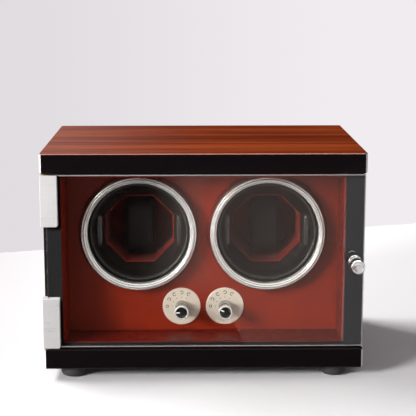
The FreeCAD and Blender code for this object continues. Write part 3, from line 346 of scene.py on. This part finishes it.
def dress_nodes():
    # corners=True paints a pale highlight on the upright corner chamfers of the top and bottom boards
    lacquer = piano_lacquer("lacquer_black", (0.0045, 0.0030, 0.0034), corners=True)
    dress(lacquer, "top_board", "bottom_board")
    # painted highlight: the top veneer's front-facing edge is given a pale pinkish colour
    dress(rosewood("rosewood_top", (0.2, 0.37, 0.0), front_paint_and_highlight=(0.42, 0.17, 0.13)), "top_veneer")
    dress(rosewood("rosewood_side", (3.1, 1.4, 0.6), 0.8, along=1), "side_panel_left", "side_panel_right")
    dress(board_fibre("rear_black", (0.010, 0.010, 0.010), (0.020, 0.019, 0.018)), "rear_cover")
    liner = leather("leather_liner", (0.150, 0.0058, 0.0006), (0.190, 0.0082, 0.0012), 0.40, 1100.0, 0.12)
    dress(liner, "liner_ceiling", "liner_left")
    # painted shade: a darker copy of the liner leather, for the floor and right liner boards
    painted_shade_leather = leather("leather_liner_painted_shade", (0.075, 0.0030, 0.0004), (0.100, 0.0045, 0.0008), 0.42, 1100.0, 0.12, 0.25)
    dress(painted_shade_leather, "liner_floor", "liner_right")
    panel = leather("leather_panel", (0.160, 0.0094, 0.0008), (0.200, 0.0132, 0.0018), 0.42, 1100.0, 0.10, 0.16)
    dress(panel, "drum_panel")
    welt = leather("leather_welt", (0.095, 0.0050, 0.0010), (0.130, 0.0075, 0.0018), 0.45, 1100.0, 0.10)
    dress(welt, "ring_welts")
    dress(chrome("ring_chrome", (0.96, 0.94, 0.92), 0.065, 0.74), "bezel_ring_left", "bezel_ring_right")
    dress(moulded("sleeve_black", (0.012, 0.011, 0.011), 0.35), "drum_sleeves")
    dress(spun("dial_metal", (0.66, 0.57, 0.48), 0.0183, 0.0505), "dial_plates")
    dress(chrome("selector_chrome", (0.34, 0.31, 0.29), 0.10, 0.95), "selector_knob_left", "selector_knob_right")
    dress(moulded("switch_black", (0.03, 0.03, 0.03), 0.5), "selector_switches")
    insert = piano_lacquer("drum_gloss", (0.0060, 0.0050, 0.0045), 0.22, 0.20)
    shell = moulded("shell_black", (0.014, 0.013, 0.012), 0.35)
    clips = piano_lacquer("clip_gloss", (0.0120, 0.0100, 0.0090), 0.16, 0.80)
    lining = velvet("pocket_red", (0.100, 0.0050, 0.0016), (0.160, 0.0085, 0.0028))
    steel = brushed("steel_ground", (0.60, 0.60, 0.61), 0.25, (1, 60, 1))
    acetal = moulded("acetal_white", (0.80, 0.80, 0.77), 0.4)
    belt = moulded("belt_rubber", (0.015, 0.015, 0.015), 0.6)
    motor = brushed("motor_plate", (0.62, 0.61, 0.58), 0.3, (1, 40, 1))
    for side in SIDES:
        dress(insert, "drum_insert_" + side)
        dress(shell, "drum_shell_" + side)
        dress(clips, "drum_clips_" + side)
        dress(lining, "pocket_lining_" + side)
        dress(steel, "drum_shaft_" + side)
        dress(acetal, "drum_pulley_" + side, "motor_pulley_" + side)
        dress(belt, "drive_belt_" + side)
        dress(motor, "gear_motor_" + side)
    dress(brushed("bearing_bronze", (0.55, 0.36, 0.18), 0.3, (1, 40, 1)), "shaft_bushes")
    dress(board_fibre("plate_fibre", (0.28, 0.19, 0.11), (0.38, 0.27, 0.17)), "mechanism_plate")
    dress(moulded("circuit_green", (0.012, 0.14, 0.05), 0.3), "control_board")
    dress(moulded("component_black", (0.02, 0.02, 0.02), 0.5), "board_components")
    dress(moulded("nylon", (0.75, 0.74, 0.70), 0.5), "board_standoffs")
    dress(moulded("jack_black", (0.015, 0.015, 0.015), 0.4), "power_jack")
    dress(moulded("lead_red", (0.35, 0.02, 0.012), 0.45), "wiring")
    dress(brushed("screw_steel", (0.50, 0.50, 0.51), 0.28), "wood_screws", "machine_screws", "hinge_screws")
    dress(moulded("foot_rubber", (0.030, 0.028, 0.027), 0.75, 0.15), "rubber_feet")
    dress(brushed("pivot_brass", (0.30, 0.21, 0.09), 0.35), "pivot_bushes")
    dress(chrome("magnet_nickel", (0.62, 0.60, 0.57), 0.12), "catch_magnet")
    dress(moulded("bumper_clear", (0.45, 0.45, 0.44), 0.35), "door_bumpers")
    dress(clear_glass("door_glass_clear"), "door_glass")
    dress(moulded("border_enamel", (0.0095, 0.0080, 0.0100), 0.6, 0.02), "glass_border")
    hinge = brushed("hinge_satin", (0.78, 0.77, 0.77), 0.34, (1, 1, 24), 30.0, 0.00001, 0.55)
    dress(hinge, "hinge_clamp_upper", "hinge_clamp_lower")
    dress(chrome("door_knob_chrome", (0.78, 0.77, 0.76), 0.09), "door_knob", "knob_screw")


dress_nodes()


# ---- pieces -------------------------------------------------------------------------------------------
def new_piece(name, mesh, material, body):
    obj = bpy.data.objects.new(name, mesh)
    bpy.context.scene.collection.objects.link(obj)
    mesh.materials.append(material)
    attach(obj, body)
    return obj


def mesh_from(bm, name, smooth=True):
    mesh = bpy.data.meshes.new(name)
    bm.to_mesh(mesh)
    bm.free()
    for face in mesh.polygons:
        face.use_smooth = smooth
    return mesh


def cushion(side, material):
    """A plump pillow in the CAD cushion's space, swollen by cloth pressure."""
    low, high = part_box("cushion_" + side)
    source = nodes["cushion_" + side]
    mesh = source.data.copy()
    obj = bpy.data.objects.new("cushion_pillow_" + side, mesh)
    bpy.context.scene.collection.objects.link(obj)
    centre = (low + high) / 2
    for v in mesh.vertices:                      # a little smaller than its space, to swell into it
        v.co = centre + Vector((a * b for a, b in zip(v.co - centre, PILLOW_SHRINK)))
    bpy.context.view_layer.objects.active = obj
    remesh = obj.modifiers.new("remesh", "REMESH")
    remesh.mode = "VOXEL"
    remesh.voxel_size = PILLOW_VOXEL
    apply_all(obj)
    before = [v.co.copy() for v in obj.data.vertices]
    cloth = obj.modifiers.new("cloth", "CLOTH")
    cloth.settings.use_pressure = True
    cloth.settings.uniform_pressure_force = 4.0
    cloth.settings.effector_weights.gravity = 0.0
    cloth.settings.tension_stiffness = 8.0
    cloth.settings.bending_stiffness = 2.0
    scene = bpy.context.scene
    for step in range(1, PILLOW_STEPS + 1):
        scene.frame_set(step)
    apply_all(obj)
    scene.frame_set(1)
    for v, start in zip(obj.data.vertices, before):
        move = v.co - start
        if move.length > PILLOW_SWELL:
            v.co = start + move.normalized() * PILLOW_SWELL
    for v in obj.data.vertices:                  # kept inside its space
        off = v.co - centre
        for k in range(3):
            limit = (high[k] - low[k]) / 2
            if abs(off[k]) > limit:
                off[k] = math.copysign(limit, off[k])
        v.co = centre + off
    subdivide = obj.modifiers.new("subdivide", "SUBSURF")
    subdivide.levels = subdivide.render_levels = 1
    apply_all(obj)
    obj.data.materials.clear()
    obj.data.materials.append(material)
    for face in obj.data.polygons:
        face.use_smooth = True
    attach(obj, side + "_drum")
    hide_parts("cushion_" + side)
    return obj


def apply_all(obj):
    """Bakes an object's modifiers into its mesh."""
    graph = bpy.context.evaluated_depsgraph_get()
    graph.update()
    baked = bpy.data.meshes.new_from_object(obj.evaluated_get(graph))
    obj.modifiers.clear()
    obj.data = baked


def tube(bm, path, radius, turns=8):
    """A closed tube through path, a loop of points in one plane across Y."""
    rows = []
    for k, point in enumerate(path):
        along = (path[(k + 1) % len(path)] - path[k - 1]).normalized()
        out = Vector((-along.z, 0, along.x))
        rows.append([bm.verts.new(point + radius * (math.cos(a) * out + Vector((0, math.sin(a), 0))))
                     for a in (2 * math.pi * j / turns for j in range(turns))])
    for k, row in enumerate(rows):
        after = rows[(k + 1) % len(rows)]
        for j in range(turns):
            bm.faces.new((row[j], row[(j + 1) % turns], after[(j + 1) % turns], after[j]))


def piping(side, pillow, material):
    """Corded seams round the pillow near its front and back faces, laid on the swollen surface."""
    low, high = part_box("cushion_" + side)
    centre = (low + high) / 2
    bm = bmesh.new()
    for share in (0.16, 0.84):                   # of the depth
        y = low.y + share * (high.y - low.y)
        hits = []
        for k in range(96):
            a = 2 * math.pi * k / 96
            way = Vector((math.cos(a), 0, math.sin(a)))
            found, spot, _, _ = pillow.ray_cast(Vector((centre.x, y, centre.z)) + way * 0.06, -way)
            if found:
                hits.append(spot - way * CORD_SUNK)
        path = [(hits[k - 1] + 2 * hits[k] + hits[(k + 1) % len(hits)]) / 4 for k in range(len(hits))]
        tube(bm, path, CORD_RADIUS)
    bmesh.ops.recalc_face_normals(bm, faces=bm.faces)
    new_piece("cushion_piping_" + side, mesh_from(bm, "cushion_piping_" + side), material, side + "_drum")


def make_cushions():
    material = leather("cushion_leather", (0.0065, 0.0050, 0.0048), (0.0120, 0.0095, 0.0090), 0.42, 900.0, 0.3)
    cord = leather("cushion_cord", (0.0045, 0.0040, 0.0038), (0.0090, 0.0075, 0.0070), 0.38, 1500.0, 0.2)
    for side in SIDES:
        piping(side, cushion(side, material), cord)


make_cushions()


def ground_edge():
    """The ground bevels of the door glass, which show as a pale line round it."""
    low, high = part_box("door_glass")
    width, lift = 0.0007, 0.00004
    s = Shader("glass_ground", rough=0.55)
    grain = s.noise(s.coords, 900.0, 3.0, 0.6)
    s.link(s.ramp(grain, (0.3, (0.26, 0.245, 0.245)), (0.7, (0.40, 0.38, 0.38))), "Base Color")
    s.bump(s.noise(s.coords, 2500.0, 2.0, 0.6), 0.2, 0.00005)
    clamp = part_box("hinge_clamp_upper")[1].x + 0.0004
    corners = [(clamp, low.z), (high.x, low.z), (high.x, high.z), (clamp, high.z)]
    bm = bmesh.new()
    rows = []
    for x, z in corners:
        side_x = 1 if x > 0 else 0
        side_z = 1 if z > (low.z + high.z) / 2 else -1
        front = low.y - lift
        rows.append([bm.verts.new(c) for c in (
            (x - side_x * width, front, z - side_z * width),
            (x - side_x * 0.0006, front, z - side_z * 0.0006),
            (x + side_x * lift, front + 0.0006, z + side_z * lift),
            (x + side_x * lift, front + 0.0016, z + side_z * lift),
            (x - side_x * width, front + 0.0016, z - side_z * width))])
    for a, b in ((0, 1), (1, 2), (2, 3)):
        for k in range(5):
            bm.faces.new((rows[a][k], rows[b][k], rows[b][(k + 1) % 5], rows[a][(k + 1) % 5]))
    bm.faces.new(rows[0])
    bm.faces.new(list(reversed(rows[3])))
    bmesh.ops.recalc_face_normals(bm, faces=bm.faces)
    new_piece("glass_ground_edge", mesh_from(bm, "glass_ground_edge", False), s.mat, "door")


def turned_mesh(name, profile, centre, turns=48):
    """A closed solid of revolution about the Y axis through centre, from (radius, y) points on and off the axis."""
    bm = bmesh.new()
    rings = []
    for radius, y in profile:
        if radius == 0:
            rings.append([bm.verts.new((centre.x, centre.y + y, centre.z))])
        else:
            angles = [2 * math.pi * k / turns for k in range(turns)]
            rings.append([bm.verts.new((centre.x + radius * math.cos(a), centre.y + y,
                                        centre.z + radius * math.sin(a))) for a in angles])
    for first, second in zip(rings, rings[1:]):
        for k in range(turns):
            j = (k + 1) % turns
            loop = [first[k % len(first)], first[j % len(first)], second[j % len(second)], second[k % len(second)]]
            bm.faces.new(list(dict.fromkeys(loop)))
    bmesh.ops.remove_doubles(bm, verts=bm.verts, dist=1e-7)
    bmesh.ops.recalc_face_normals(bm, faces=bm.faces)
    return mesh_from(bm, name)


def selector_cap(side, material, paint, rim, pointer):
    """The dark face of a selector knob, dished, in a bright rim, with a white pointer line standing proud of it."""
    low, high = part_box("selector_knob_" + side)
    centre = Vector(((low.x + high.x) / 2, low.y, (low.z + high.z) / 2))
    profile = [(0, 0.0009), (0.00475, 0.0009), (0.00475, 0.0001), (0.0046, -0.0001), (0.0043, 0.0), (0.0038, 0.00025),
               (0.0022, 0.0004), (0, 0.00045)]
    new_piece("selector_cap_" + side, turned_mesh("selector_cap_" + side, profile, centre), material,
              side + "_selector")
    hoop = [(0.00475, 0.0002), (0.00478, -0.0003), (0.0052, -0.0005), (0.0057, -0.0003), (0.0060, 0.0003),
            (0.0060, 0.0009), (0.0053, 0.0009), (0.00475, 0.0002)]
    new_piece("selector_rim_" + side, turned_mesh("selector_rim_" + side, hoop, centre), rim, side + "_selector")
    bm = bmesh.new()
    way = Vector((math.cos(pointer), 0, math.sin(pointer)))
    across = Vector((-way.z, 0, way.x)) * 0.00042
    corners = []
    for run, y in ((0.0014, 0.00018), (0.0044, -0.00024)):
        for edge in (-1, 1):
            corners.append(centre + way * run + across * edge + Vector((0, y, 0)))
    front = [bm.verts.new(c) for c in (corners[0], corners[1], corners[3], corners[2])]
    back = [bm.verts.new(v.co + Vector((0, 0.0006, 0))) for v in front]
    bm.faces.new(front)
    bm.faces.new(list(reversed(back)))
    for k in range(4):
        j = (k + 1) % 4
        bm.faces.new((front[k], back[k], back[j], front[j]))
    bmesh.ops.recalc_face_normals(bm, faces=bm.faces)
    new_piece("selector_pointer_" + side, mesh_from(bm, "selector_pointer_" + side, False), paint,
              side + "_selector")


def ribbon(bm, centre, y, points, half_width, depth=0.00008):
    """A raised printed stroke: a closed strip along points given as (x, z) from centre."""
    rows = []
    for k, (px, pz) in enumerate(points):
        a = points[max(k - 1, 0)]
        b = points[min(k + 1, len(points) - 1)]
        along = Vector((b[0] - a[0], 0, b[1] - a[1])).normalized()
        off = Vector((-along.z, 0, along.x)) * half_width
        middle = Vector((centre.x + px, y, centre.z + pz))
        rows.append([bm.verts.new(middle + s * off + Vector((0, d, 0))) for s, d in
                     ((-1, 0), (1, 0), (1, depth), (-1, depth))])
    for first, second in zip(rows, rows[1:]):
        for k in range(4):
            bm.faces.new((first[k], first[(k + 1) % 4], second[(k + 1) % 4], second[k]))
    bm.faces.new(rows[0])
    bm.faces.new(list(reversed(rows[-1])))


def arc_points(x, z, radius, start, end, count):
    steps = [math.radians(start + (end - start) * k / (count - 1)) for k in range(count)]
    return [(x + radius * math.cos(a), z + radius * math.sin(a)) for a in steps]


def dial_marks(side, ink):
    """Printed marks round a selector: a ring for off, and open arrows for the turning modes, with a dot by each."""
    knob_low, knob_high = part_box("selector_knob_" + side)
    centre = Vector(((knob_low.x + knob_high.x) / 2, 0, (knob_low.z + knob_high.z) / 2))
    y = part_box("dial_plates")[0].y - 0.00006
    dots, marks, curl, stroke = 0.0079, 0.0121, 0.00135, 0.00026
    bm = bmesh.new()
    for angle in (180, 150, 120, 90, 60):
        a = math.radians(angle)
        dx, dz = math.cos(a), math.sin(a)
        ribbon(bm, centre, y, arc_points(dx * dots, dz * dots, 0.00020, 0, 360, 9), 0.00020)
        x, z = dx * marks, dz * marks
        if angle == 180:
            ribbon(bm, centre, y, arc_points(x, z, 0.00105, 0, 360, 17), stroke)
            continue
        clockwise = angle in (150, 90)
        start, end = (angle - 215, angle + 35) if clockwise else (angle + 215, angle - 35)
        ribbon(bm, centre, y, arc_points(x, z, curl, start, end, 13), stroke)
        tip = math.radians(end)
        turn = 1 if end > start else -1
        px, pz = x + curl * math.cos(tip), z + curl * math.sin(tip)
        for lean in (0.5, 2.4):
            way = tip + turn * (math.pi / 2 + lean + 0.12)
            ribbon(bm, centre, y, [(px, pz), (px + 0.0009 * math.cos(way), pz + 0.0009 * math.sin(way))], 0.00024)
    bmesh.ops.recalc_face_normals(bm, faces=bm.faces)
    new_piece("dial_marks_" + side, mesh_from(bm, "dial_marks_" + side, False), ink, "case")


def small_pieces():
    ground_edge()
    face = moulded("cap_black", (0.010, 0.0095, 0.009), 0.22, 0.02)
    paint = moulded("pointer_white", (0.80, 0.78, 0.75), 0.5, 0.02)
    ink = moulded("dial_ink", (0.012, 0.009, 0.008), 0.7, 0.02)
    rim = chrome("selector_rim", (0.88, 0.86, 0.84), 0.12, 0.6)
    for side, pointer in (("left", 180), ("right", 150)):
        selector_cap(side, face, paint, rim, math.radians(pointer))
        dial_marks(side, ink)


small_pieces()


# ---- floor, light -------------------------------------------------------------------------------------
def flat_piece(name, corners, material):
    bm = bmesh.new()
    bm.faces.new([bm.verts.new(c) for c in corners])
    mesh = mesh_from(bm, name, False)
    obj = bpy.data.objects.new(name, mesh)
    bpy.context.scene.collection.objects.link(obj)
    mesh.materials.append(material)
    return obj


def only_mirrored(obj):
    """A studio card: seen in polished surfaces, and by nothing else. Its material clears it from straight views."""
    obj.visible_camera = obj.visible_diffuse = obj.visible_shadow = obj.visible_volume_scatter = False


def card(name, corners, glow, fade=None, colour=(1.0, 0.98, 0.97)):
    """A glowing or dark card. fade is (extra glow, x from, x to, y from, y to): the extra grows along both."""
    s = Shader(name, base=(0.0, 0.0, 0.0), rough=1.0)
    s.set("Specular IOR Level", 0.0)
    s.set("Emission Color", (*colour, 1.0))
    s.set("Emission Strength", glow)
    if fade:
        place = s.split(s.coords)
        parts = []
        for axis, start, end in ((0, fade[1], fade[2]), (1, fade[3], fade[4])):
            made = s.node("ShaderNodeMapRange", interpolation_type="SMOOTHSTEP")
            made.inputs["From Min"].default_value, made.inputs["From Max"].default_value = start, end
            s.link(place[axis], made.inputs["Value"])
            parts.append(made.outputs["Result"])
        s.link(s.maths("MULTIPLY_ADD", s.maths("MULTIPLY", *parts), fade[0], glow), "Emission Strength")
    path = s.node("ShaderNodeLightPath")         # clear to a ray that has come straight through glass
    straight = s.maths("MULTIPLY", s.maths("LESS_THAN", path.outputs["Glossy Depth"], 0.5),
                       s.maths("LESS_THAN", path.outputs["Diffuse Depth"], 0.5))
    mix = s.node("ShaderNodeMixShader")
    s.link(straight, mix.inputs[0])
    s.link(s.bsdf.outputs[0], mix.inputs[1])
    s.link(s.node("ShaderNodeBsdfTransparent").outputs[0], mix.inputs[2])
    s.link(mix.outputs[0], s.out.inputs["Surface"])
    only_mirrored(flat_piece(name, corners, s.mat))


def make_stage():
    s = Shader("floor_pale_painted_shade", rough=0.6)
    s.set("Specular IOR Level", 0.0)
    # painted shade: the floor's colour is darker towards the left, where the key lamp falls strongest, to even out
    # its light
    run = s.maths("MULTIPLY_ADD", s.split(s.coords)[0], 2.5, 0.75)
    drift = s.ramp(s.noise(s.coords, 3.0, 3.0, 0.5), (0.3, 0.98), (0.7, 1.0))
    colour = s.ramp(run, (0.0, (0.46, 0.45, 0.465)), (1.0, (0.88, 0.87, 0.885)))
    s.link(s.mix(1.0, colour, drift, "MULTIPLY"), "Base Color")
    flat_piece("floor", [(-5, -5, 0), (5, -5, 0), (5, 2.0, 0), (-5, -1.1, 0)], s.mat)
    front = CAD_LOW.y
    near, far, away = front - 0.060, -1.10, -3.2
    dark, haze, warm = 0.03, 0.43, (1.0, 0.82, 0.74)

    def flag(name, height, outline, *values):
        card(name, [(x, y, height) for x, y in outline], *values)

    # dark flags on the floor: one under the box's front edge, one far in front, and one left of the middle,
    # whose right edge the door glass mirrors as a slanting line
    slant = [(0.016, far), (0.016, -1.044), (0.001, -0.538), (0.037, near)]
    flag("flag_near", 0.002, [(-0.30, near), (0.30, near), (0.30, front + 0.021), (-0.30, front + 0.021)], dark)
    flag("flag_far", 0.002, [(-1.6, away), (1.6, away), (1.6, far), (-1.6, far)], dark)
    flag("flag_left", 0.0024, [(-0.24, far), *slant, (-0.20, near)], dark, (0.50, -0.075, 0.0, -0.25, -0.42), warm)
    # a grey flag right of the middle, so that the door glass shows only a light haze there
    flag("flag_right", 0.0022, [slant[0], (1.4, far), (0.60, near), *slant[:0:-1]], haze, None, warm)
    # a brighter one further right, mirrored by the glass over its right border
    flag("flag_edge", 0.0026, [(0.1236, near), (0.2531, far), (1.4, far), (0.60, near)], 0.78, None, (1.0, 0.96, 1.0))
    # bright panels overhead and at both sides, for chrome and polished edges
    card("panel_over", [(-0.9, -0.35, 1.3), (0.9, -0.35, 1.3), (0.9, 0.35, 1.3), (-0.9, 0.35, 1.3)], 7.0)
    for name, x in (("panel_left", -1.2), ("panel_right", 1.2)):
        card(name, [(x, -1.2, 0.05), (x, -0.3, 0.05), (x, -0.3, 0.8), (x, -1.2, 0.8)], 1.3)


def lamp(name, place, target, size, power, colour=(1, 1, 1), size_y=None):
    data = bpy.data.lights.new(name, "AREA")
    data.shape = "RECTANGLE"
    data.size, data.size_y = size, size_y or size
    data.energy = power
    data.color = colour
    obj = bpy.data.objects.new(name, data)
    obj.location = place
    obj.rotation_euler = (Vector(target) - Vector(place)).to_track_quat("-Z", "Y").to_euler()
    bpy.context.scene.collection.objects.link(obj)
    return obj


def make_world():
    """A pale backdrop to look at; a dim room for diffuse light; bright in front and dark behind for reflections."""
    world = bpy.data.worlds.new("studio")
    world.use_nodes = True
    tree = world.node_tree
    link = tree.links.new
    seen = tree.nodes["Background"]
    path = tree.nodes.new("ShaderNodeLightPath")
    way = tree.nodes.new("ShaderNodeSeparateXYZ")
    link(tree.nodes.new("ShaderNodeTexCoord").outputs["Generated"], way.inputs[0])

    def fade(axis, start, end, low, high):
        made = tree.nodes.new("ShaderNodeMapRange")
        made.interpolation_type = "SMOOTHSTEP"
        for name, value in (("From Min", start), ("From Max", end), ("To Min", low), ("To Max", high)):
            made.inputs[name].default_value = value
        link(way.outputs[axis], made.inputs["Value"])
        return made.outputs["Result"]

    def background(colour, strength):
        made = tree.nodes.new("ShaderNodeBackground")
        made.inputs["Color"].default_value = (*colour, 1.0)
        if isinstance(strength, (int, float)):
            made.inputs["Strength"].default_value = strength
        else:
            link(strength, made.inputs["Strength"])
        return made.outputs[0]

    def choose(fac, a, b):
        made = tree.nodes.new("ShaderNodeMixShader")
        for socket, value in zip(made.inputs, (fac, a, b)):
            link(value, socket)
        return made.outputs[0]

    seen.inputs["Color"].default_value = (0.80, 0.77, 0.80, 1.0)
    link(fade(0, -0.18, 0.16, 0.93, 1.09), seen.inputs["Strength"])
    room = background((1.0, 0.98, 0.99), 0.23)
    front = background((1.0, 0.985, 0.975), 0.85)
    behind = background((1.0, 0.96, 0.93), fade(0, -0.16, 0.02, 0.40, 0.0))
    mirrored = choose(fade(1, -0.25, 0.15, 0.0, 1.0), front, behind)
    lit = choose(path.outputs["Is Diffuse Ray"], mirrored, room)
    bounces = tree.nodes.new("ShaderNodeMath")   # none for a ray straight from the camera, through glass or not
    link(path.outputs["Glossy Depth"], bounces.inputs[0])
    link(path.outputs["Diffuse Depth"], bounces.inputs[1])
    straight = tree.nodes.new("ShaderNodeMath")
    straight.operation = "LESS_THAN"
    link(bounces.outputs[0], straight.inputs[0])
    straight.inputs[1].default_value = 0.5
    link(choose(straight.outputs[0], lit, seen.outputs[0]), tree.nodes["World Output"].inputs["Surface"])
    bpy.context.scene.world = world


def make_light():
    make_world()
    lamp("key", (-1.75, 0.85, 1.55), (0, 0, 0.0), 1.60, 92.0, (1.0, 0.99, 0.985), 0.45)
    lamp("front", (-1.45, -1.20, 0.72), (0, 0, 0.1), 0.55, 50.0, (1.0, 0.985, 0.97))
    bpy.context.scene.view_settings.view_transform = "Standard"


make_stage()
make_light()
